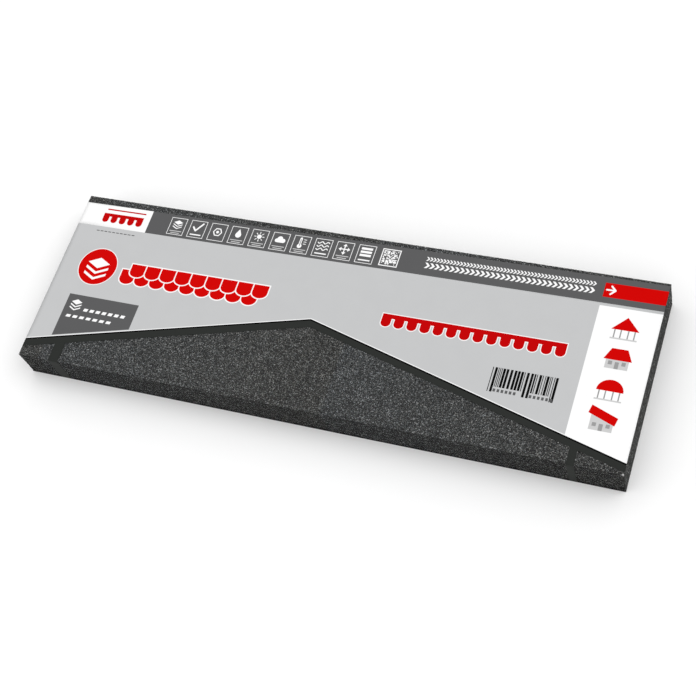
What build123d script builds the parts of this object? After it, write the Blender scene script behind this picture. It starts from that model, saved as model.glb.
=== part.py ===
from build123d import *
import os

# A bundle of bitumen roof shingles, lying flat: plain mineral-surfaced strips stacked flush,
# held together by one tight printed film sleeve that is open at both ends.
# Millimetres. X runs along the strips, -Y is the front, +Z is up.
# The origin is on the floor, under the centre of the bundle.

# One shingle strip
shingle_length = 1000.0
shingle_width = 317.0
shingle_thickness = 3.9  # felt, bitumen and the granules pressed into it

# The stack
shingle_count = 14
layer_gap = 0.4  # air that the coarse granules leave between two strips

# The film sleeve
film_thickness = 0.2
film_clearance = 0.1  # between the film and the stack, on all four sides
film_setback = 0.3  # how far the film's cut ends stop short of the ends of the strips

# What follows from those sizes
layer_pitch = shingle_thickness + layer_gap
stack_height = shingle_count * layer_pitch - layer_gap
stack_base = film_thickness + film_clearance
sleeve_inner_width = shingle_width + 2 * film_clearance
sleeve_inner_height = stack_height + 2 * film_clearance
sleeve_length = shingle_length - 2 * film_setback


def make_shingle(layer):
    """One strip, at its place in the stack. Layer 0 is the lowest."""
    underside = stack_base + layer * layer_pitch
    strip = Box(
        shingle_length,
        shingle_width,
        shingle_thickness,
        align=(Align.CENTER, Align.CENTER, Align.MIN),
    )
    return Pos(0, 0, underside) * strip


def make_film_sleeve():
    """The film as a flat-sided tube along X, bent round the stack's four long edges."""
    outer_width = sleeve_inner_width + 2 * film_thickness
    outer_height = sleeve_inner_height + 2 * film_thickness
    section = RectangleRounded(outer_width, outer_height, film_thickness)
    section -= Rectangle(sleeve_inner_width, sleeve_inner_height)
    tube = extrude(Plane.YZ * section, sleeve_length / 2, both=True)
    return Pos(0, 0, outer_height / 2) * tube


def write_part(shape, node):
    """Write one sub-part under the name of its node."""
    shape.label = node
    export_step(shape, os.path.join("parts", f"{node}.step"))


os.makedirs("parts", exist_ok=True)
for layer in range(shingle_count):
    write_part(make_shingle(layer), f"shingle_{layer + 1:02d}")
write_part(make_film_sleeve(), "printed_film_sleeve")
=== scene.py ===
import math
import random

import bpy
import numpy as np
from mathutils import Matrix, Vector, noise
from mathutils.geometry import delaunay_2d_cdt


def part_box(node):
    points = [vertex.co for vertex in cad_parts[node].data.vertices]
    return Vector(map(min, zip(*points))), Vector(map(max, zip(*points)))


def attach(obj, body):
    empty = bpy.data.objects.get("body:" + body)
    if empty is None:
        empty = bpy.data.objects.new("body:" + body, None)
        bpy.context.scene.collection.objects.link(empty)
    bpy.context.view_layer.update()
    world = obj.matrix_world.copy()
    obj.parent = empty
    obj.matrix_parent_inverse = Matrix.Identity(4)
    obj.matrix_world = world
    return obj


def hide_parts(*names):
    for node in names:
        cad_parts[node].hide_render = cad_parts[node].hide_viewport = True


# A bundle of roof shingles in a printed film sleeve. Shapes are worked out in millimetres, in the
# row frame: X along the bundle, -Y the front, Z up from the floor. Meshes are stored in metres.

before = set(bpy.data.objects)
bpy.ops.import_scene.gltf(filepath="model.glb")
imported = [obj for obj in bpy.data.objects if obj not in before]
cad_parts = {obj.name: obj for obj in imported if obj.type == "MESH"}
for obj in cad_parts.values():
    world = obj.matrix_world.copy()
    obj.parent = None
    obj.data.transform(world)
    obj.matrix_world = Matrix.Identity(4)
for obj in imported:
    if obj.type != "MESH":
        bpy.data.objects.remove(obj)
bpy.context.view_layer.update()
MM = 0.001


# Sizes that come from the frame

def frame_box(node):
    """Lowest and highest corner of a CAD node, in millimetres."""
    low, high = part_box(node)
    return np.array(low) / MM, np.array(high) / MM


sleeve_low, sleeve_high = frame_box("printed_film_sleeve")
sheet_nodes = sorted(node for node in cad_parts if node.startswith("shingle_"))
top_sheet = sheet_nodes[-1]
sheet_low, sheet_high = frame_box(top_sheet)
sheet_length = sheet_high[0] - sheet_low[0]
sheet_width = sheet_high[1] - sheet_low[1]

# The film as a section round the stack. It is unrolled from the back of its flat top: over the top,
# down the front, along the underside and up the back.
film_length = sleeve_high[0] - sleeve_low[0]
film_width = sleeve_high[1] - sleeve_low[1]
film_height = sleeve_high[2] - sleeve_low[2]
FILM_WALL = 0.2
FILM_BEND = 1.1  # outer radius where the film goes round a long edge of the stack
flat_width = film_width - 2 * FILM_BEND
flat_height = film_height - 2 * FILM_BEND
flats = (flat_width, flat_height, flat_width, flat_height)
bend_length = math.pi * FILM_BEND / 2
top_start = FILM_BEND - (film_width - sheet_width) / 2  # from the strips' back edge to the flat top
front_end = flat_width + bend_length + flat_height
underside_start = front_end + bend_length


# The print on the unrolled film: x from the left end of the strips, y from their back edge

(CLEAR, LIGHT_GREY, DARK_GREY, WHITE, RED, DEEP_RED, ROOF_BLACK, EDGE_BLACK, MID_GREY, PALE_GREY,
 MILKY_AND_GLINT) = range(11)
PRINT_RISE = 0.0105  # the print runs askew: its top lines climb this much for each mm to the right
RISE_ENDS = 200.0  # and lie square from this y on
HALO = 1.3  # white round the red marks on the light field

ink_shapes = []


def square(x, y):
    """A place measured square to the strips as a point of the unrolled film."""
    return (x - sheet_length / 2, y - top_start)


def askew(x, y):
    """A place in the print as a point of the unrolled film."""
    return square(x, y - PRINT_RISE * x * max(0.0, 1 - y / RISE_ENDS))


def underside(x, y):
    """A place on the underside, y from the front edge, as a point of the unrolled film."""
    return (x - sheet_length / 2, underside_start + y)


def spaced(start, end, step):
    """Places from start to end, with even steps of about this size."""
    count = max(1, round(abs(end - start) / step))
    return [start + (end - start) * i / count for i in range(count + 1)]


def twice_area(points):
    """Twice the area inside an outline; negative if it runs the other way round."""
    return sum(a[0] * b[1] - b[0] * a[1] for a, b in zip(points, points[1:] + points[:1]))


def lay(ink, points, place=askew):
    """Puts one flat shape of ink over all that was laid before."""
    outline = [place(x, y) for x, y in points]
    ink_shapes.append((ink, outline if twice_area(outline) > 0 else outline[::-1]))


def box_points(left, back, right, front, slant=0.0):
    """A rectangle whose back edge is moved right by the slant."""
    return [(left + slant, back), (right + slant, back), (right, front), (left, front)]


def around(x, y, radius, turn):
    """The point at this distance and angle from a middle."""
    return (x + radius * math.cos(turn), y + radius * math.sin(turn))


def disc_points(x, y, radius, count=28):
    return [around(x, y, radius, 2 * math.pi * i / count) for i in range(count)]


def grown(points, margin):
    """The same outline moved outwards by the margin, with mitred corners."""
    side = margin if twice_area(points) > 0 else -margin
    moved = []
    for before, here, after in zip(points[-1:] + points[:-1], points, points[1:] + points[:1]):
        into = Vector((here[0] - before[0], here[1] - before[1])).normalized()
        out = Vector((after[0] - here[0], after[1] - here[1])).normalized()
        mitre = Vector((into.y + out.y, -into.x - out.x)) / (1 + into.dot(out))
        moved.append((here[0] + side * mitre.x, here[1] + side * mitre.y))
    return moved


def lay_line(ink, points, width):
    """A line of even width with round joints."""
    for (x0, y0), (x1, y1) in zip(points, points[1:]):
        across = Vector((y0 - y1, x1 - x0)).normalized() * width / 2
        lay(ink, [(x0 + across.x, y0 + across.y), (x1 + across.x, y1 + across.y),
                  (x1 - across.x, y1 - across.y), (x0 - across.x, y0 - across.y)])
    for x, y in points:
        lay(ink, disc_points(x, y, width / 2, 10))


def lay_dashes(ink, left, back, width, height, pitch, count, slant=0.0):
    """A row of equal dashes or blocks."""
    for i in range(count):
        x = left + i * pitch
        lay(ink, box_points(x, back, x + width, back + height, slant))


# The rounded free end of a tab, from its right corner to its left one, in shares of its width and height
ROUND_END = tuple(
    (0.5 + 0.5 * math.cos(math.pi * i / 12), 0.6 + 0.4 * math.sin(math.pi * i / 12)) for i in range(13)
)


def round_tab(left, back, width, height):
    """One shingle tab with a rounded free end."""
    corners = ((0.0, 0.0), (1.0, 0.0)) + ROUND_END
    return [(left + width * across, back + height * down) for across, down in corners]


def lay_courses(left, back, width, height, tabs):
    """Two courses of red rounded tabs as they lie on a roof, the upper one over the joints of the lower."""
    pitch = width / (tabs + 0.5)
    course = height / 2
    low_back, low_height, high_height = back + course * 0.6, course * 1.4, course * 1.25
    outlines = [round_tab(left + i * pitch, low_back, pitch, low_height) for i in range(tabs)]
    outlines += [round_tab(left + (i + 0.5) * pitch, back, pitch, high_height) for i in range(tabs)]
    for outline in outlines:
        lay(WHITE, grown(outline, HALO))
        lay(RED, grown(outline, -HALO / 2))


def lay_strip_sign(left, back, width, height, tabs):
    """One whole shingle strip in deep red: an unbroken head with a row of tabs cut below it."""
    slot = height * 0.24
    pitch = (width + slot) / tabs
    tab_back, tab_height, head_height = back + height * 0.25, height * 0.75, height * 0.34
    outlines = [box_points(left, back, left + width, back + head_height)]
    outlines += [round_tab(left + i * pitch, tab_back, pitch - slot, tab_height) for i in range(tabs)]
    for outline in outlines:
        lay(WHITE, grown(outline, HALO))
    for outline in outlines:
        lay(DEEP_RED, outline)


def lay_stack_sign(x, y, half_width, layer):
    """A white pile of three sheets seen from a corner: a whole one on top, bent edges below it."""
    half = half_width * 0.5
    lay(WHITE, [(x - half_width, y), (x, y - half), (x + half_width, y), (x, y + half)])
    for i in (1, 2):
        above, below = y + (i - 0.42) * layer, y + i * layer
        lay(WHITE, [(x - half_width, above), (x, above + half), (x + half_width, above),
                    (x + half_width, below), (x, below + half), (x - half_width, below)])


# The fields and the roof line

BAND_TOP, BAND_BOTTOM = 14.0, 57.0  # the dark header band
FLASH_END = 129.0  # the white flash at the left end of the band
COLUMN_START, COLUMN_TOP, COLUMN_MIDDLE = 904.5, 61.5, 951  # the white column at the right
BOX_LEFT, BOX_RIGHT, BOX_TOP = 43.5, 174, 191.5  # the dark box at the left
BOX_GAP = 2.7  # the dark box ends this far above the roof line
APEX_X, APEX_Y = 470.0, 161.25
LEFT_SLOPE, RIGHT_SLOPE = 0.2655, 0.2590
LEFT_ROOF, RIGHT_ROOF = 14.9, 13.0  # how thick the roof line is on either side of its apex
KEYLINE, KEYLINE_UNDER = 1.3, 1.0  # how far the white keyline reaches above the roof line and under it
EDGE_LINE = 2.7  # the blacker line along the roof line's upper edge, and the painted shade line along the foot of the bundle's front face
POSTS = ((56.5, 74.5), (916.5, 928.0))  # left and right side of each post


def roof_y(x):
    """The upper edge of the printed roof line."""
    return APEX_Y + (LEFT_SLOPE * (APEX_X - x) if x < APEX_X else RIGHT_SLOPE * (x - APEX_X))


def down_to_roof(left, back, right, above=0.0):
    """A field whose front edge follows the roof line, this far above it."""
    return [(left, back), (right, back), (right, roof_y(right) - above), (left, roof_y(left) - above)]


def lay_fields():
    """The light field with its header band, white flash, white column and dark box."""
    end = sheet_length
    field_bottom = [(end, roof_y(end)), (APEX_X, APEX_Y), (0, roof_y(0))]
    lay(LIGHT_GREY, [(0, BAND_TOP), (end, BAND_TOP), (end, RISE_ENDS)] + field_bottom)
    lay(DARK_GREY, box_points(FLASH_END, BAND_TOP, end, BAND_BOTTOM))
    lay(WHITE, box_points(0, BAND_TOP, FLASH_END, BAND_BOTTOM))
    lay(WHITE, down_to_roof(COLUMN_START, COLUMN_TOP, end))
    lay(DARK_GREY, down_to_roof(BOX_LEFT, BOX_TOP, BOX_RIGHT, BOX_GAP))


def lay_gable(ink, above, left_below, right_below):
    """A bent band along the roof line, from this far above it to this far below it on either side."""
    end = sheet_length
    upper = [(0, roof_y(0) - above), (APEX_X, APEX_Y - above), (end, roof_y(end) - above)]
    aside = (left_below - right_below) / (LEFT_SLOPE + RIGHT_SLOPE)
    under_apex = (APEX_X + aside, APEX_Y + left_below - LEFT_SLOPE * aside)
    lower = [(end, roof_y(end) + right_below), under_apex, (0, roof_y(0) + left_below)]
    lay(ink, upper + lower, square)


def lay_roof_line():
    """A dark gable with a white keyline above it, two posts that run down the front face, and a painted shade
    line along the foot of the front face.
    """
    lay_gable(WHITE, KEYLINE, KEYLINE_UNDER, KEYLINE_UNDER)
    lay_gable(ROOF_BLACK, 0.0, LEFT_ROOF, RIGHT_ROOF)
    lay_gable(EDGE_BLACK, 0.0, EDGE_LINE, EDGE_LINE)
    front_y = front_end + top_start
    # Painted shade: a black line along the foot of the front face, where the bundle meets the floor
    lay(EDGE_BLACK, box_points(0, front_y - EDGE_LINE, sheet_length, front_y), square)
    for left, right in POSTS:
        start = roof_y(left) + RIGHT_ROOF / 2
        lay(ROOF_BLACK, box_points(left, start, right, front_y), square)


def lay_flash():
    """The marks of the white flash, a rule and a small strip, and a dotted line under it."""
    lay(DEEP_RED, box_points(44, 21.0, 118, 23.6))
    lay_strip_sign(41, 30, width=76, height=18, tabs=5)
    lay_dashes(DARK_GREY, 40, 65.0, width=5.5, height=1.6, pitch=7.5, count=10)


# The signs of the header band, each about 20 mm across and drawn about its middle

def pictogram_layers(x, y):
    lay_stack_sign(x, y - 4.2, 8.4, 4.3)


def pictogram_sun(x, y):
    lay(WHITE, disc_points(x, y, 4.0))
    for i in range(8):
        turn = math.pi * i / 4
        lay_line(WHITE, [around(x, y, 5.8, turn), around(x, y, 8.6, turn)], 1.3)


def pictogram_drop(x, y):
    round_part = [around(x, y + 2.5, 5.2, math.radians(angle)) for angle in range(-30, 211, 20)]
    lay(WHITE, round_part + [(x, y - 8.6)])


def pictogram_cloud(x, y):
    for dx, dy, radius in ((-5.5, 1.7, 3.5), (-0.5, -1.4, 5.0), (5.5, 1.4, 3.9)):
        lay(WHITE, disc_points(x + dx, y + dy, radius))
    lay(WHITE, box_points(x - 5.5, y + 0.5, x + 5.5, y + 5.2))


def pictogram_hexagon(x, y):
    for ink, radius in ((WHITE, 8.4), (DARK_GREY, 6.3), (WHITE, 2.8)):
        lay(ink, disc_points(x, y, radius, 6))


def pictogram_waves(x, y):
    for row in (-6, 0, 6):
        lay_line(WHITE, [(x + dx, y + row + 1.9 * math.sin(dx * 0.62)) for dx in range(-10, 11, 2)], 1.6)


def pictogram_thermometer(x, y):
    lay_line(WHITE, [(x - 2, y - 8), (x - 2, y + 6)], 4.2)
    lay(WHITE, disc_points(x - 2, y + 6, 4.0))
    lay_line(DARK_GREY, [(x - 2, y - 6), (x - 2, y + 5)], 1.2)
    for down in (-7, -3, 1):
        lay(WHITE, box_points(x + 3, y + down, x + 8, y + down + 1.2))


def pictogram_tick(x, y):
    lay_line(WHITE, [(x - 8, y), (x - 2.5, y + 6.5), (x + 8, y - 8)], 2.9)


def pictogram_four_ways(x, y):
    lay_line(WHITE, [(x - 7, y), (x + 7, y)], 1.8)
    lay_line(WHITE, [(x, y - 7), (x, y + 7)], 1.8)
    for dx, dy in ((1, 0), (-1, 0), (0, 1), (0, -1)):
        lay(WHITE, [(x + dx * 10, y + dy * 10), (x + dx * 5.5 + dy * 3.6, y + dy * 5.5 + dx * 3.6),
                    (x + dx * 5.5 - dy * 3.6, y + dy * 5.5 - dx * 3.6)])


def pictogram_bars(x, y):
    for row in (-8.5, -2.5, 3.5):
        lay(WHITE, box_points(x - 9.5, y + row, x + 9.5, y + row + 4))


def lay_matrix(left, back, side, count):
    """A framed block of light and dark cells that encodes nothing."""
    draw = random.Random(5)
    cell = side / count
    lay(WHITE, box_points(left, back, left + side, back + side))
    for row in range(1, count - 1):
        for column in range(1, count - 1):
            at_rim = row in (1, count - 2) or column in (1, count - 2)
            if at_rim or draw.random() < 0.5:
                x, y = left + column * cell, back + row * cell
                lay(DARK_GREY, box_points(x, y, x + cell, y + cell))


FRAME_START, FRAME_PITCH, FRAME_WIDTH = 167.5, 37.6, 29.5
FRAME_BACK, FRAME_FRONT, FRAME_LINE = 19.4, 52.2, 0.9
CELLS_RIGHT, CELLS_DOWN = 3, 0.8  # how far the block of cells is moved from where a next frame would lie
CELLS_SIDE, CELLS_COUNT = 31.0, 19
# Each sign, and how many plain lines stand under it
PICTOGRAMS = (
    (pictogram_layers, 2),
    (pictogram_tick, 1),
    (pictogram_hexagon, 0),
    (pictogram_drop, 2),
    (pictogram_sun, 2),
    (pictogram_cloud, 2),
    (pictogram_thermometer, 2),
    (pictogram_waves, 1),
    (pictogram_four_ways, 2),
    (pictogram_bars, 1),
)
# For no line, one line and two lines: how far down the frame the sign's middle is, and the lines, each
# with its ink, how far down it starts, its height and half its length
SIGN_LAYOUTS = (
    (16, ()),
    (13, ((WHITE, 26.0, 2.2, 10.0),)),
    (13, ((PALE_GREY, 25.0, 1.4, 11.0), (PALE_GREY, 28.6, 1.4, 8.0))),
)


def lay_pictograms():
    """A row of framed weather and handling signs in the header band, and a block of cells at its end."""
    for i, (draw_sign, line_count) in enumerate(PICTOGRAMS):
        left = FRAME_START + i * FRAME_PITCH
        outline = box_points(left, FRAME_BACK, left + FRAME_WIDTH, FRAME_FRONT)
        lay(WHITE, outline)
        lay(DARK_GREY, grown(outline, -FRAME_LINE))
        middle = left + FRAME_WIDTH / 2
        sign_down, lines = SIGN_LAYOUTS[line_count]
        draw_sign(middle, FRAME_BACK + sign_down)
        for ink, down, height, half in lines:
            back = FRAME_BACK + down
            lay(ink, box_points(middle - half, back, middle + half, back + height))
    left = FRAME_START + len(PICTOGRAMS) * FRAME_PITCH + CELLS_RIGHT
    lay_matrix(left, FRAME_BACK + CELLS_DOWN, CELLS_SIDE, CELLS_COUNT)


# The rest of the header band

CHEVRONS_START, CHEVRONS_END = 621, 892
POINTER_START, POINTER_BACK, POINTER_FRONT = 905, 23.5, 47.0
ARROW_Y, ARROW_REACH = 35.0, 6.6


def lay_chevrons(back, front, stroke, pitch):
    """A row of white chevrons that point to the right."""
    middle, reach = (back + front) / 2, (front - back) / 2
    for x in spaced(CHEVRONS_START, CHEVRONS_END - reach - stroke, pitch):
        lay(WHITE, [(x, back), (x + stroke, back), (x + stroke + reach, middle), (x + stroke, front),
                    (x, front), (x + reach, middle)])


def lay_pointer():
    """Two rows of white chevrons that lead to a red bar with an arrow."""
    lay_chevrons(24.4, 31.4, stroke=2.6, pitch=5.4)
    lay_chevrons(34.6, 44.2, stroke=4.1, pitch=8.2)
    lay(RED, box_points(POINTER_START, POINTER_BACK, sheet_length, POINTER_FRONT))
    lay_line(WHITE, [(909, ARROW_Y), (921, ARROW_Y)], 2.6)
    lay_line(WHITE, [(915.5, ARROW_Y - ARROW_REACH), (922.2, ARROW_Y), (915.5, ARROW_Y + ARROW_REACH)], 2.8)


# The marks on the light field and in the dark box

BADGE_X, BADGE_Y, BADGE_RADIUS, BADGE_CORNERS = 71.5, 134, 34.5, 48


def lay_red_marks():
    """The large red marks on the light field: a badge, two courses of tabs and one whole strip."""
    lay(WHITE, disc_points(BADGE_X, BADGE_Y, BADGE_RADIUS + HALO, BADGE_CORNERS))
    lay(RED, disc_points(BADGE_X, BADGE_Y, BADGE_RADIUS, BADGE_CORNERS))
    lay_stack_sign(BADGE_X, BADGE_Y - 7, 20.5, 11.2)
    lay_courses(118, 118, width=266, height=40, tabs=9)
    lay_strip_sign(582, 131.5, width=292, height=22.0, tabs=14)


def lay_tally_box():
    """White marks in the dark box: a small stack and a tally of its fourteen strips."""
    lay_stack_sign(63, 205, 10.0, 5.6)
    lay_dashes(WHITE, 80, 214.5, width=7.4, height=5.2, pitch=11.6, count=7, slant=1.4)
    lay_dashes(WHITE, 53, 229.5, width=8.0, height=4.8, pitch=12.6, count=7, slant=1.4)


BARS_START, BARS_END = 775.0, 877.5
BARS_BACK, BARS_FRONT, LONG_BARS_FRONT = 187, 218.5, 227.5
BAR_MODULE = 1.25
BAR_WIDTHS, BAR_GAPS = (1, 1, 2, 3), (1, 1, 2, 2)  # what a width and a gap are drawn from, in modules


def lay_bar_block():
    """A block of bars that encodes nothing, six of them longer, with small blocks between those."""
    draw = random.Random(8)
    x = BARS_START
    bars = []
    while x < BARS_END:
        width = BAR_MODULE * draw.choice(BAR_WIDTHS)
        bars.append((x, min(x + width, BARS_END)))
        x += width + BAR_MODULE * draw.choice(BAR_GAPS)
    middle = len(bars) // 2
    longer = {0, 1, middle, middle + 1, len(bars) - 2, len(bars) - 1}
    for i, (left, right) in enumerate(bars):
        lay(EDGE_BLACK, box_points(left, BARS_BACK, right, LONG_BARS_FRONT if i in longer else BARS_FRONT))
    for start, _ in (bars[2], bars[middle + 2]):
        lay_dashes(DARK_GREY, start, 221.5, width=3.8, height=5.0, pitch=6.2, count=6)


# The small buildings in the white column, each drawn down from its eaves

# Roofs seen from the front, about the middle of their eaves
TENT_ROOF = ((-21, 3), (0, -18), (21, 3))
HIPPED_ROOF = ((-21, 3), (-12, -15), (12, -15), (21, 3))
BARREL_ROOF = tuple(
    (-20 * math.cos(math.pi * i / 14), 3 - 18 * math.sin(math.pi * i / 14)) for i in range(15)
)
LEAN_ROOF = ((-22, -9), (-19, -22), (22, -7), (19, 6))


def lay_posts(y):
    """The open front of a shelter: four posts on a sill."""
    x = COLUMN_MIDDLE
    for across in (-15, -5.5, 5.5, 15):
        lay(MID_GREY, box_points(x + across - 1, y, x + across + 1, y + 16))
    lay(PALE_GREY, box_points(x - 20, y + 16, x + 20, y + 18.5))


def lay_walls(y, eaves_rise=0.0):
    """A house front with a door and two windows, its left wall taller by the rise of the eaves."""
    x = COLUMN_MIDDLE
    lay(PALE_GREY, [(x - 17, y - eaves_rise), (x + 17, y), (x + 17, y + 17), (x - 17, y + 17)])
    for left in (-13, 7):
        lay(MID_GREY, box_points(x + left, y + 5, x + left + 6, y + 11))
    lay(MID_GREY, box_points(x - 3, y + 6, x + 3, y + 17))


def lay_column():
    """Four small buildings with different roofs in the white column."""
    shelter, house, hall, shed = 93, 141, 190, 240  # where their eaves are
    lay_posts(shelter)
    lay_walls(house)
    lay_posts(hall)
    lay_walls(shed, eaves_rise=9)
    for y, roof in ((shelter, TENT_ROOF), (house, HIPPED_ROOF), (hall, BARREL_ROOF), (shed, LEAN_ROOF)):
        lay(RED, [(COLUMN_MIDDLE + across, y + down) for across, down in roof])


# The underside

UNDERSIDE_MARGIN = 13.0
STEPS = 4  # pictures of a roof that gets covered course by course
STEP_START, STEP_PITCH, STEP_WIDTH = 60, 225, 205
STEP_BACK, STEP_FRONT, STEP_LINE = 60, 225, 2.0
TILE_WIDTH, TILE_HEIGHT, TILE_ACROSS, TILE_DOWN = 38, 28, 42, 32  # the size of a tile and its pitches
WELD_BACK, WELD_FRONT = 286, 292


def lay_underside():
    """A light field underneath, four framed step pictures with no lettering, and the film's weld."""
    margin = UNDERSIDE_MARGIN
    lay(LIGHT_GREY, box_points(margin, margin, sheet_length - margin, sheet_width - margin), underside)
    for step in range(STEPS):
        left = STEP_START + step * STEP_PITCH
        outline = box_points(left, STEP_BACK, left + STEP_WIDTH, STEP_FRONT)
        lay(DARK_GREY, outline, underside)
        lay(WHITE, grown(outline, -STEP_LINE), underside)
        for row in range(4):
            ink = DARK_GREY if row < step else LIGHT_GREY
            start = left + 16 + (row % 2) * 12
            back = STEP_BACK + 20 + row * TILE_DOWN
            for column in range(4):
                x = start + column * TILE_ACROSS
                lay(ink, box_points(x, back, x + TILE_WIDTH, back + TILE_HEIGHT), underside)
    lay(MILKY_AND_GLINT, box_points(0, WELD_BACK, sheet_length, WELD_FRONT), underside)


def lay_painted_glints():
    """Small milky spots at the ends of the front top edge: painted highlights for the glint of the tight film
    over the corners.
    """
    y = flat_width + top_start
    for x, reach in ((sheet_length, -4.0), (0, 2.5)):
        lay(MILKY_AND_GLINT, [(x, y - 2.2), (x + reach * 0.5, y - 1.6), (x + reach, y), (x + reach * 0.4, y + 1.2),
                    (x, y + 1.8)], square)


def lay_print():
    lay_fields()
    lay_flash()
    lay_pictograms()
    lay_pointer()
    lay_red_marks()
    lay_tally_box()
    lay_bar_block()
    lay_column()
    lay_roof_line()
    lay_underside()
    lay_painted_glints()


# The film's mesh

GRID_STEP = 8.0
BEND_STEPS = 5
JOIN_WITHIN = 1e-4  # points of the unrolled film that are nearer than this are one
RIPPLE_DEEP = 0.10
SLACK_SIZES = (70, 45, 30)  # how long the film's ripples are in X, Y and Z
GATHER_SIZES = (90, 16, 12)  # and those near its open ends
END_REACH = 60.0  # how far from an open end the film is gathered into ripples
END_CUT = 0.3  # how uneven the cut ends are
CUT_WAVE = 38  # and how long a wave of the cut is


def film_rows():
    """Places round the section where the mesh has a row of corners; a bend has closer rows."""
    rows = [0.0]
    for flat in flats:
        steps = round(flat / GRID_STEP)
        rows += [rows[-1] + flat * (i + 1) / steps for i in range(steps)]
        rows += [rows[-1] + bend_length * (i + 1) / BEND_STEPS for i in range(BEND_STEPS)]
    return rows


def section_point(v):
    """Place and outward direction, in Y and Z, of a point of the section of the film's outer face."""
    across, up = film_width / 2 - FILM_BEND, film_height / 2 - FILM_BEND
    corner = [Vector((across, up)), Vector((-across, up)), Vector((-across, -up)), Vector((across, -up))]
    for side, flat in enumerate(flats):
        angle = math.pi / 2 * (side + 1)
        out = Vector((math.cos(angle), math.sin(angle)))
        along = Vector((-out.y, out.x))
        if v <= flat:
            return corner[side] + along * v + out * FILM_BEND, out
        v -= flat
        if v <= bend_length + 1e-6:
            angle += v / FILM_BEND
            out = Vector((math.cos(angle), math.sin(angle)))
            return corner[(side + 1) % 4] + out * FILM_BEND, out
        v -= bend_length
    return section_point(0.0)


def unevenness(x, place, sizes, shift=0.0):
    """Smooth noise from -1 to 1 at a point of the film's outer face, with features of these sizes."""
    return noise.noise(Vector((x / sizes[0], place.x / sizes[1], place.y / sizes[2] + shift)))


def ripple(x, place):
    """How far the film lies inside its outer size: a faint unevenness, finer near the open ends."""
    waves = unevenness(x, place, SLACK_SIZES)
    near_end = max(0.0, 1 - (film_length / 2 - abs(x)) / END_REACH)
    gather = unevenness(x, place, GATHER_SIZES, 7)
    return RIPPLE_DEEP * (0.5 + 0.5 * ((1 - near_end) * waves + near_end * gather))


def cut_end(x, v):
    """Pulls the film's two open ends in by a slightly uneven cut."""
    near_end = max(0.0, 1 - (film_length / 2 - abs(x)) / GRID_STEP)
    uneven = 0.5 + 0.5 * noise.noise(Vector((math.copysign(40, x), v / CUT_WAVE, 3)))
    return x - math.copysign(END_CUT * near_end * uneven, x)


def unrolled_mesh():
    """Cuts the unrolled film along every ink edge.

    Returns its points, its triangles, the ink of each triangle and where the film's last row lies.
    """
    half = film_length / 2
    rows = film_rows()
    film_end = rows[-1]
    points = [Vector(p) for p in ((-half, 0), (half, 0), (half, film_end), (-half, film_end))]
    faces = [[0, 1, 2, 3]]
    columns = round(film_length / GRID_STEP)
    edges = []
    for v in rows:
        start = len(points)
        points += [Vector((-half + film_length * i / columns, v)) for i in range(columns + 1)]
        edges += [(start + i, start + i + 1) for i in range(columns)]
    inks = [CLEAR]
    for ink, outline in ink_shapes:
        faces.append(list(range(len(points), len(points) + len(outline))))
        points += [Vector(p) for p in outline]
        inks.append(ink)
    cut = delaunay_2d_cdt(points, edges, faces, 0, JOIN_WITHIN, True)
    made, triangles, origins = cut[0], cut[2], cut[5]
    # A triangle's origins are the faces it came from: 0 is the whole film, and the last laid ink shows
    kept = [(t, inks[max(o)]) for t, o in zip(triangles, origins) if 0 in o]
    return made, [t for t, _ in kept], [ink for _, ink in kept], film_end


def new_object(name, points, faces, face_slots, materials, smooth=0):
    """A mesh object from points in millimetres. Its first faces, this many, are shaded smooth."""
    mesh = bpy.data.meshes.new(name)
    mesh.from_pydata((np.asarray(points) * MM).tolist(), [], faces)
    for material in materials:
        mesh.materials.append(material)
    mesh.polygons.foreach_set("material_index", face_slots)
    mesh.polygons.foreach_set("use_smooth", [i < smooth for i in range(len(faces))])
    mesh.validate()
    mesh.update()
    piece = bpy.data.objects.new(name, mesh)
    bpy.context.scene.collection.objects.link(piece)
    return piece


def make_film(materials):
    """The sleeve as one closed wall, cut along the edges of its print."""
    lay_print()
    flat, triangles, inks, film_end = unrolled_mesh()
    number, used = {}, []

    def joined(i):
        """The mesh's number for a point of the unrolled film, whose two long sides are one line."""
        x, v = flat[i]
        v = 0.0 if abs(v - film_end) < 1e-3 else v
        key = (round(x, 3), round(v, 3))
        if key not in number:
            number[key] = len(used)
            used.append((x, v))
        return number[key]

    faces, slots, rim = [], [], {}
    for triangle, ink in zip(triangles, inks):
        c, b, a = [joined(i) for i in triangle]  # turned over, because the unrolled film shows its inner side
        if len({a, b, c}) < 3:
            continue
        faces.append((a, b, c))
        slots.append(ink)
        for edge in ((a, b), (b, c), (c, a)):
            if edge[::-1] in rim:
                del rim[edge[::-1]]
            else:
                rim[edge] = ink
    outer, inner = [], []
    for x, v in used:
        place, out = section_point(v)
        place.y += film_height / 2
        depth = ripple(x, place)
        end_x = cut_end(x, v)
        for wall, inset in ((outer, depth), (inner, depth + FILM_WALL)):
            at = place - out * inset
            wall.append((end_x, at.x, at.y))
    count = len(used)
    inside = [(c + count, b + count, a + count) for a, b, c in faces]
    ends = [(b, a, a + count, b + count) for a, b in rim]
    walls, slots = faces + inside, slots + slots + list(rim.values())
    return new_object("printed_film", outer + inner, walls + ends, slots, materials, len(walls))


# The shingle strips

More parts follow.
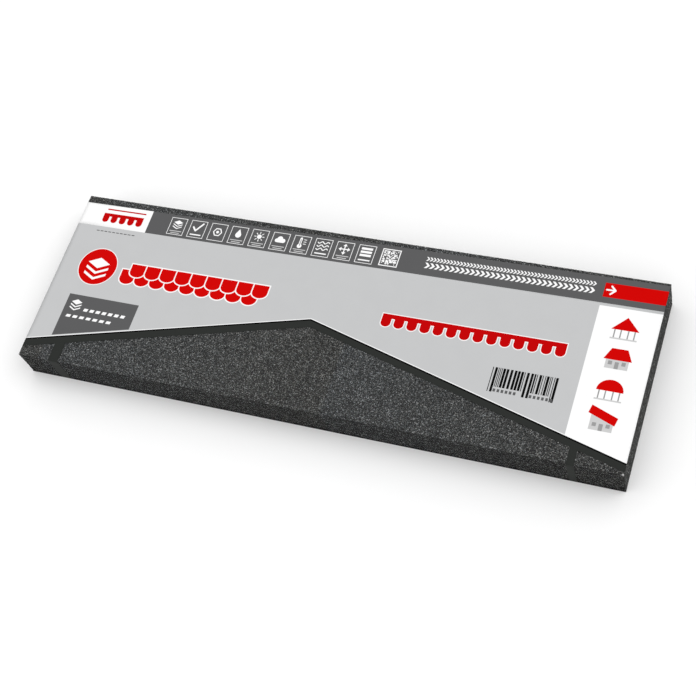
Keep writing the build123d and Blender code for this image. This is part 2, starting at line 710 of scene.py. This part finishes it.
GRAIN_STEP = 1.5  # of the top strip's mesh where it shows
COARSE_STEP = 8.0  # and where the print hides it
EDGE_STEP = 2.6  # along the cut edges of the strips below
WINDOW_DEPTH = 150.0  # the part of the top strip in front that shows through clear film
BACK_STRIP = 15.0  # and the part at its back edge
FACE_SINK, GRAIN_RELIEF = 0.15, 0.3  # how far below the strip's top the granules start, and how deep they go
GRAIN_SHIFT = 0.3  # how far a granule is moved aside, in steps of the mesh
RIM_SINK = (0.15, 0.6)  # how far the rim of the top strip's face lies below its top
GRANULES, CORE, BACK_SAND, LIT_END_CORE = range(4)
SIDE_JOG = 0.45  # how far a side of a strip may lie back from its neighbours
FILM_ROOM = 0.1  # how far every long edge lies back, clear of the film's ripples

# Height as a share of the strip's thickness, inset of the cut edge, its roughness, and what shows below
EDGE_RINGS = (
    (0.00, 0.50, 0.10, BACK_SAND),
    (0.07, 0.12, 0.15, BACK_SAND),
    (0.22, 0.05, 0.22, BACK_SAND),
    (0.45, 0.00, 0.25, CORE),
    (0.72, 0.02, 0.30, CORE),
    (0.90, 0.12, 0.40, CORE),
    (1.00, 0.75, 0.25, GRANULES),
)


def strip_rows(is_top):
    """Rows from the front edge to the back edge, close together where the top strip is seen."""
    if not is_top:
        return spaced(sheet_low[1], sheet_high[1], EDGE_STEP)
    window_end = sheet_low[1] + WINDOW_DEPTH
    back_start = sheet_high[1] - BACK_STRIP
    rows = spaced(sheet_low[1], window_end, GRAIN_STEP)
    rows += spaced(window_end, back_start, COARSE_STEP)[1:]
    return rows + spaced(back_start, sheet_high[1], GRAIN_STEP)[1:]


def edge_path(columns, rows):
    """The strip's outline, anticlockwise from its front left corner, with the way inwards."""
    path = [(x, rows[0]) for x in columns[:-1]]
    path += [(columns[-1], y) for y in rows[:-1]]
    path += [(x, rows[-1]) for x in columns[:0:-1]]
    path += [(columns[0], y) for y in rows[:0:-1]]
    inwards = []
    for x, y in path:
        at_x = int(x == columns[0]) - int(x == columns[-1])
        at_y = int(y == rows[0]) - int(y == rows[-1])
        inwards.append((at_x, at_y))
    return path, inwards


def make_strip(node, index, materials):
    """One strip: a rough cut edge of several rings, a flat back, and granules on the face of the top one."""
    low, high = frame_box(node)
    draw = np.random.default_rng(100 + index)
    is_top = node == top_sheet
    columns = spaced(sheet_low[0], sheet_high[0], GRAIN_STEP if is_top else EDGE_STEP)
    rows = strip_rows(is_top)
    path, inwards = edge_path(columns, rows)
    path, inwards = np.array(path), np.array(inwards, float)
    jog = draw.uniform(0, SIDE_JOG, 4) + (0, FILM_ROOM, 0, FILM_ROOM)
    side = np.where(inwards > 0, jog[:2], np.where(inwards < 0, jog[2:], 0.0))
    rings = []
    for share, inset, rough, _ in EDGE_RINGS:
        bite = draw.uniform(0, rough, (len(path), 1)) + inset
        ring = path + inwards * (side + bite)
        height = np.full((len(path), 1), low[2] + share * (high[2] - low[2]))
        rings.append(np.hstack([ring, height]))
    points = np.vstack(rings)
    count = len(path)
    faces, slots = [], []
    for ring, (_, _, _, slot) in enumerate(EDGE_RINGS[1:]):
        for i in range(count):
            j = (i + 1) % count
            below, above = ring * count, (ring + 1) * count
            faces.append((below + i, below + j, above + j, above + i))
            # The cut core at the two ends of the bundle gets a lighter copy of its material: painted light
            # where the lamp falls on the end faces
            at_end = inwards[i][0] and inwards[j][0]
            slots.append(LIT_END_CORE if at_end and slot == CORE else slot)
    faces.append(tuple(range(count - 1, -1, -1)))
    slots.append(BACK_SAND)
    top_ring = (len(EDGE_RINGS) - 1) * count
    if is_top:
        points, more = granule_face(points, top_ring, columns, rows, high[2], draw)
        faces += more
        slots += [GRANULES] * len(more)
    else:
        faces.append(tuple(range(top_ring, top_ring + count)))
        slots.append(GRANULES)
    return new_object(f"strip_{index + 1:02d}", points, faces, slots, materials)


def granule_face(points, top_ring, columns, rows, top, draw):
    """A field of small uneven facets, the size of the granules, inside the strip's top ring."""
    width, depth = len(columns), len(rows)
    number = np.full((depth, width), -1)
    number[0, :-1] = top_ring + np.arange(width - 1)
    number[:-1, -1] = top_ring + width - 1 + np.arange(depth - 1)
    number[-1, :0:-1] = top_ring + width - 1 + depth - 1 + np.arange(width - 1)
    number[:0:-1, 0] = top_ring + 2 * (width - 1) + depth - 1 + np.arange(depth - 1)
    x, y = np.meshgrid(columns[1:-1], rows[1:-1])
    shift = draw.uniform(-GRAIN_SHIFT, GRAIN_SHIFT, (2, *x.shape)) * GRAIN_STEP
    z = top - FACE_SINK - GRAIN_RELIEF * draw.beta(1.6, 2.2, x.shape)
    inner = np.stack([x + shift[0], y + shift[1], z], -1).reshape(-1, 3)
    number[1:-1, 1:-1] = len(points) + np.arange(len(inner)).reshape(x.shape)
    points[top_ring:, 2] -= draw.uniform(*RIM_SINK, len(points) - top_ring)
    faces = []
    for j in range(depth - 1):
        for i in range(width - 1):
            faces.append((number[j, i], number[j, i + 1], number[j + 1, i + 1], number[j + 1, i]))
    return np.vstack([points, inner]), [tuple(int(n) for n in face) for face in faces]


# Shader groups

GRAIN_TONES = ((0.0, 0.018), (0.35, 0.040), (0.7, 0.075), (0.9, 0.14), (1.0, 0.36))
GRAIN_HUES = ((0.0, (1.03, 1.0, 0.95)), (0.5, (0.99, 1.0, 1.0)), (1.0, (0.94, 1.0, 1.04)))
# Along a strip the granules grow slowly darker and warmer, and the coating line starts again every half metre
DRIFT_START, DRIFT_REPEAT = 0.037, 0.5
DRIFT_HUES = ((0.0, (0.97, 1.0, 1.02)), (1.0, (1.0, 1.0, 0.97)))


def new_group(name, inputs, outputs):
    """An empty shader group. Inputs are (name, socket, value), outputs are (name, socket)."""
    group = bpy.data.node_groups.new(name, "ShaderNodeTree")
    for label, kind, value in inputs:
        socket = group.interface.new_socket(label, in_out="INPUT", socket_type=kind)
        socket.default_value = value
    for label, kind in outputs:
        group.interface.new_socket(label, in_out="OUTPUT", socket_type=kind)
    return group, group.nodes.new("NodeGroupInput"), group.nodes.new("NodeGroupOutput")


def add_node(tree, kind, values=None, **settings):
    """A node with its settings and the values of its unlinked sockets."""
    node = tree.nodes.new(kind)
    for key, value in settings.items():
        setattr(node, key, value)
    for key, value in (values or {}).items():
        node.inputs[key].default_value = value
    return node


def feed(tree, socket, source):
    """Links a socket to its source, or sets it if the source is a plain value."""
    if isinstance(source, bpy.types.NodeSocket):
        tree.links.new(source, socket)
    else:
        socket.default_value = source


def math_node(tree, operation, first, second):
    """A Math node; an argument is a socket or a number."""
    node = add_node(tree, "ShaderNodeMath", operation=operation)
    feed(tree, node.inputs[0], first)
    feed(tree, node.inputs[1], second)
    return node.outputs[0]


def scaled(tree, vector, scale):
    """A vector or colour socket times a scale, which is a socket or a number."""
    node = add_node(tree, "ShaderNodeVectorMath", operation="SCALE")
    feed(tree, node.inputs[0], vector)
    feed(tree, node.inputs["Scale"], scale)
    return node.outputs[0]


def multiplied(tree, first, second):
    """The product of two colour sockets."""
    node = add_node(tree, "ShaderNodeMix", {0: 1.0}, data_type="RGBA", blend_type="MULTIPLY")
    feed(tree, node.inputs[6], first)
    feed(tree, node.inputs[7], second)
    return node.outputs[2]


def colour_stops(tree, factor, stops):
    """A colour ramp with (position, grey or colour) stops."""
    node = add_node(tree, "ShaderNodeValToRGB")
    ramp = node.color_ramp
    while len(ramp.elements) < len(stops):
        ramp.elements.new(0.5)
    for element, (position, colour) in zip(ramp.elements, stops):
        element.position = position
        element.color = (*colour, 1.0) if isinstance(colour, tuple) else (colour, colour, colour, 1.0)
    tree.links.new(factor, node.inputs[0])
    return node.outputs[0]


def object_place(tree):
    """The place on the object, in metres."""
    return add_node(tree, "ShaderNodeTexCoord").outputs["Object"]


def scaled_place(tree, scale, stretch=(1.0, 1.0, 1.0)):
    """The place on the object times a stretch and a scale, which is a socket or a number."""
    shaped = add_node(tree, "ShaderNodeVectorMath", {1: stretch}, operation="MULTIPLY")
    tree.links.new(object_place(tree), shaped.inputs[0])
    return scaled(tree, shaped.outputs[0], scale)


def noise_value(tree, place, detail, roughness=0.5):
    node = add_node(tree, "ShaderNodeTexNoise", {"Scale": 1.0, "Detail": detail, "Roughness": roughness})
    tree.links.new(place, node.inputs["Vector"])
    return node.outputs["Fac"]


def granule_group():
    """Crushed stone granules: each cell is one grain with its own tone, height and gloss."""
    group, given, result = new_group(
        "granule_coat",
        [("Grain size", "NodeSocketFloat", 0.0016), ("Brightness", "NodeSocketFloat", 1.0),
         ("Patchiness", "NodeSocketFloat", 0.1), ("Drift", "NodeSocketFloat", 0.1)],
        [("Color", "NodeSocketColor"), ("Height", "NodeSocketFloat"), ("Roughness", "NodeSocketFloat")],
    )
    per_metre = math_node(group, "DIVIDE", 1.0, given.outputs["Grain size"])
    cells = add_node(group, "ShaderNodeTexVoronoi", {"Scale": 1.0})
    group.links.new(scaled_place(group, per_metre), cells.inputs["Vector"])
    parts = add_node(group, "ShaderNodeSeparateColor")
    group.links.new(cells.outputs["Color"], parts.inputs[0])
    own_tone, own_hue, own_height = parts.outputs[:3]
    tone = colour_stops(group, own_tone, GRAIN_TONES)
    stone = multiplied(group, tone, colour_stops(group, own_hue, GRAIN_HUES))

    patches = noise_value(group, scaled_place(group, 24.0), 5.0, 0.75)
    patches = math_node(group, "SUBTRACT", patches, 0.5)
    swing = math_node(group, "MULTIPLY", patches, given.outputs["Patchiness"])
    along = add_node(group, "ShaderNodeSeparateXYZ")
    group.links.new(object_place(group), along.inputs[0])
    past_start = math_node(group, "SUBTRACT", along.outputs[0], DRIFT_START)
    drift = math_node(group, "FRACT", math_node(group, "DIVIDE", past_start, DRIFT_REPEAT), 0.0)
    fall = math_node(group, "MULTIPLY", math_node(group, "SUBTRACT", 0.5, drift), given.outputs["Drift"])
    change = math_node(group, "ADD", math_node(group, "ADD", swing, fall), 1.0)
    level = math_node(group, "MULTIPLY", change, given.outputs["Brightness"])
    toned = multiplied(group, stone, colour_stops(group, drift, DRIFT_HUES))
    group.links.new(scaled(group, toned, level), result.inputs["Color"])

    crown = math_node(group, "SUBTRACT", 1.0, cells.outputs["Distance"])
    group.links.new(math_node(group, "ADD", crown, own_height), result.inputs["Height"])
    gloss = math_node(group, "MULTIPLY", own_hue, 0.3)
    group.links.new(math_node(group, "SUBTRACT", 0.95, gloss), result.inputs["Roughness"])
    return group


def film_group():
    """Shrink film drawn over a pebbled stack: slack ripples, small dimples and dull scuffs."""
    group, given, result = new_group(
        "film_skin",
        [("Gloss", "NodeSocketFloat", 0.3), ("Scuffs", "NodeSocketFloat", 0.12)],
        [("Height", "NodeSocketFloat"), ("Roughness", "NodeSocketFloat")],
    )
    slack = noise_value(group, scaled_place(group, 16.0, (1.0, 2.2, 2.2)), 2.0)
    dimples = noise_value(group, scaled_place(group, 260.0), 1.0)
    small = math_node(group, "MULTIPLY", dimples, 0.06)
    group.links.new(math_node(group, "ADD", slack, small), result.inputs["Height"])
    rubbed = noise_value(group, scaled_place(group, 55.0, (0.35, 1.0, 1.0)), 5.0, 0.65)
    dull = math_node(group, "MULTIPLY", rubbed, given.outputs["Scuffs"])
    group.links.new(math_node(group, "ADD", given.outputs["Gloss"], dull), result.inputs["Roughness"])
    return group


def ink_group():
    """Printing ink with a faint cloudiness and a fine pinhole mottle."""
    group, given, result = new_group(
        "printed_ink",
        [("Ink", "NodeSocketColor", (0.5, 0.5, 0.5, 1.0)), ("Mottle", "NodeSocketFloat", 0.04)],
        [("Color", "NodeSocketColor")],
    )
    cloud = noise_value(group, scaled_place(group, 30.0), 3.0)
    grain = noise_value(group, scaled_place(group, 900.0), 1.0)
    both = math_node(group, "ADD", cloud, grain)
    swing = math_node(group, "MULTIPLY", math_node(group, "SUBTRACT", both, 1.0), given.outputs["Mottle"])
    level = math_node(group, "ADD", swing, 1.0)
    group.links.new(scaled(group, given.outputs["Ink"], level), result.inputs["Color"])
    return group


# Materials

FILM_IOR = 1.5
FILM_SHINE, INK_SHINE = 0.6, 0.02
INK_GLOSS = 0.32


def new_material(name, sockets):
    """A material with one Principled shader and its plain socket values."""
    material = bpy.data.materials.new(name)
    material.use_nodes = True
    shader = material.node_tree.nodes["Principled BSDF"]
    for key, value in sockets.items():
        shader.inputs[key].default_value = value
    return material, material.node_tree, shader


def place_group(tree, group, values):
    return add_node(tree, "ShaderNodeGroup", values, node_tree=group)


def add_bump(tree, shader, height, strength, distance):
    bump = add_node(tree, "ShaderNodeBump", {"Strength": strength, "Distance": distance})
    tree.links.new(height, bump.inputs["Height"])
    tree.links.new(bump.outputs[0], shader.inputs["Normal"])


def make_ink(name, film, ink, colour):
    """Opaque ink under clear film: its colour, and the film's ripples and scuffs."""
    material, tree, shader = new_material(name, {"IOR": FILM_IOR, "Specular IOR Level": INK_SHINE})
    coat = place_group(tree, ink, {"Ink": (*colour, 1.0), "Mottle": 0.05})
    skin = place_group(tree, film, {"Gloss": INK_GLOSS, "Scuffs": 0.16})
    tree.links.new(coat.outputs["Color"], shader.inputs["Base Color"])
    tree.links.new(skin.outputs["Roughness"], shader.inputs["Roughness"])
    add_bump(tree, shader, skin.outputs["Height"], strength=0.35, distance=0.0006)
    return material


def make_clear_film(name, film, grey, alpha, gloss):
    """Unprinted film: see-through, with a glossy skin."""
    material, tree, shader = new_material(name, {
        "Base Color": (grey, grey, grey, 1.0),
        "Alpha": alpha,
        "IOR": FILM_IOR,
        "Specular IOR Level": FILM_SHINE,
    })
    skin = place_group(tree, film, {"Gloss": gloss, "Scuffs": 0.2})
    tree.links.new(skin.outputs["Roughness"], shader.inputs["Roughness"])
    add_bump(tree, shader, skin.outputs["Height"], strength=0.5, distance=0.0008)
    return material


def make_stone(name, granules, grain, brightness, patchiness, bump):
    """A mineral or bitumen surface made of grains."""
    material, tree, shader = new_material(name, {"Specular IOR Level": 0.05})
    coat = place_group(tree, granules, {
        "Grain size": grain,
        "Brightness": brightness,
        "Patchiness": patchiness,
        "Drift": 0.14,
    })
    tree.links.new(coat.outputs["Color"], shader.inputs["Base Color"])
    tree.links.new(coat.outputs["Roughness"], shader.inputs["Roughness"])
    add_bump(tree, shader, coat.outputs["Height"], strength=0.6, distance=bump)
    return material


def make_floor_material():
    material, tree, shader = new_material("pale_floor", {"Roughness": 0.7, "Specular IOR Level": 0.2})
    cloud = noise_value(tree, scaled_place(tree, 1.5), 3.0)
    shade = colour_stops(tree, cloud, ((0.3, 0.93), (0.7, 0.95)))
    tree.links.new(shade, shader.inputs["Base Color"])
    return material


# The stage

AIM = (33.3, -26.6, 30.2)
CAMERA_AZIMUTH, CAMERA_ELEVATION, CAMERA_ROLL = 40.15, 58.48, -25.41
CAMERA_DISTANCE = 2180.5
LENS_MM = 72.0
FLOOR_REACH, FLOOR_CELLS = 6000.0, 12


def away(azimuth, elevation):
    """The direction from the object, for an azimuth that is 0 in front and 90 at the right."""
    a, e = math.radians(azimuth), math.radians(elevation)
    return Vector((math.sin(a) * math.cos(e), -math.cos(a) * math.cos(e), math.sin(e)))


def make_camera():
    back = away(CAMERA_AZIMUTH, CAMERA_ELEVATION)
    camera = bpy.data.objects.new("camera", bpy.data.cameras.new("camera"))
    camera.data.lens = LENS_MM
    camera.data.clip_start, camera.data.clip_end = 0.05, 50.0
    right = Vector((0, 0, 1)).cross(back).normalized()
    upright = Matrix((right, back.cross(right), back)).transposed()
    turned = upright @ Matrix.Rotation(math.radians(CAMERA_ROLL), 3, "Z")
    place = (Vector(AIM) + back * CAMERA_DISTANCE) * MM
    camera.matrix_world = Matrix.Translation(place) @ turned.to_4x4()
    bpy.context.scene.collection.objects.link(camera)
    bpy.context.scene.camera = camera


def add_soft_sun(name, azimuth, elevation, spread, strength):
    """A distant broad lamp; the spread is its width across the sky in degrees."""
    lamp = bpy.data.lights.new(name, "SUN")
    lamp.angle = math.radians(spread)
    lamp.energy = strength
    light = bpy.data.objects.new(name, lamp)
    light.rotation_euler = away(azimuth, elevation).to_track_quat("Z", "Y").to_euler()
    bpy.context.scene.collection.objects.link(light)


def light_scene():
    """An even white surround and one broad soft lamp from the right and behind."""
    world = bpy.data.worlds.new("surround")
    world.use_nodes = True
    backdrop = world.node_tree.nodes["Background"]
    backdrop.inputs["Color"].default_value = (1.0, 1.0, 1.0, 1.0)
    backdrop.inputs["Strength"].default_value = 1.0
    bpy.context.scene.world = world
    add_soft_sun("soft_key", azimuth=105, elevation=52, spread=40, strength=0.6)
    bpy.context.scene.view_settings.view_transform = "Standard"


def make_floor():
    line = spaced(-FLOOR_REACH, FLOOR_REACH, 2 * FLOOR_REACH / FLOOR_CELLS)
    points = [(x, y, 0.0) for y in line for x in line]
    row = len(line)
    starts = [j * row + i for j in range(FLOOR_CELLS) for i in range(FLOOR_CELLS)]
    faces = [(start, start + 1, start + row + 1, start + row) for start in starts]
    floor = new_object("floor", points, faces, [0] * len(faces), [make_floor_material()])


# Making it all

make_camera()
light_scene()
make_floor()

granules, film, ink = granule_group(), film_group(), ink_group()

film_materials = [
    make_clear_film("clear_film", film, grey=0.02, alpha=0.015, gloss=0.12),
    make_ink("light_grey_ink", film, ink, (0.50, 0.505, 0.51)),
    make_ink("dark_grey_ink", film, ink, (0.098, 0.098, 0.100)),
    make_ink("white_ink", film, ink, (0.88, 0.88, 0.88)),
    make_ink("red_ink", film, ink, (0.57, 0.0008, 0.0004)),
    make_ink("deep_red_ink", film, ink, (0.48, 0.0006, 0.0012)),
    make_ink("roof_black_ink", film, ink, (0.026, 0.028, 0.026)),
    # Black ink for bars and the roof line's edge, also used for the painted shade line at the foot of the
    # front face
    make_ink("edge_black_ink_and_shade", film, ink, (0.002, 0.002, 0.002)),
    make_ink("mid_grey_ink", film, ink, (0.30, 0.30, 0.30)),
    make_ink("pale_grey_ink", film, ink, (0.55, 0.55, 0.55)),
    # Milky film for the real weld underneath, and for the painted glints at the ends of the front top edge
    make_clear_film("milky_film_and_glint", film, grey=0.7, alpha=0.4, gloss=0.35),
]  # in the order of the inks' numbers
sleeve = make_film(film_materials)
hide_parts("printed_film_sleeve")
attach(sleeve, "root")

strip_materials = [
    make_stone("granule_face", granules, grain=0.0012, brightness=0.81, patchiness=0.45, bump=0.0003),
    # The cut core is darker than the granules partly by its own bitumen and partly by painted shade on the
    # front face; the end copy is the same core painted lighter for the lit end faces
    make_stone("bitumen_core", granules, grain=0.0022, brightness=0.36, patchiness=0.4, bump=0.0003),
    make_stone("sanded_back", granules, grain=0.0016, brightness=0.41, patchiness=0.4, bump=0.0002),
    make_stone("lit_end_core", granules, grain=0.0018, brightness=0.70, patchiness=0.4, bump=0.0003),
]
for index, node in enumerate(sheet_nodes):
    strip = make_strip(node, index, strip_materials)
    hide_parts(node)
    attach(strip, "root")
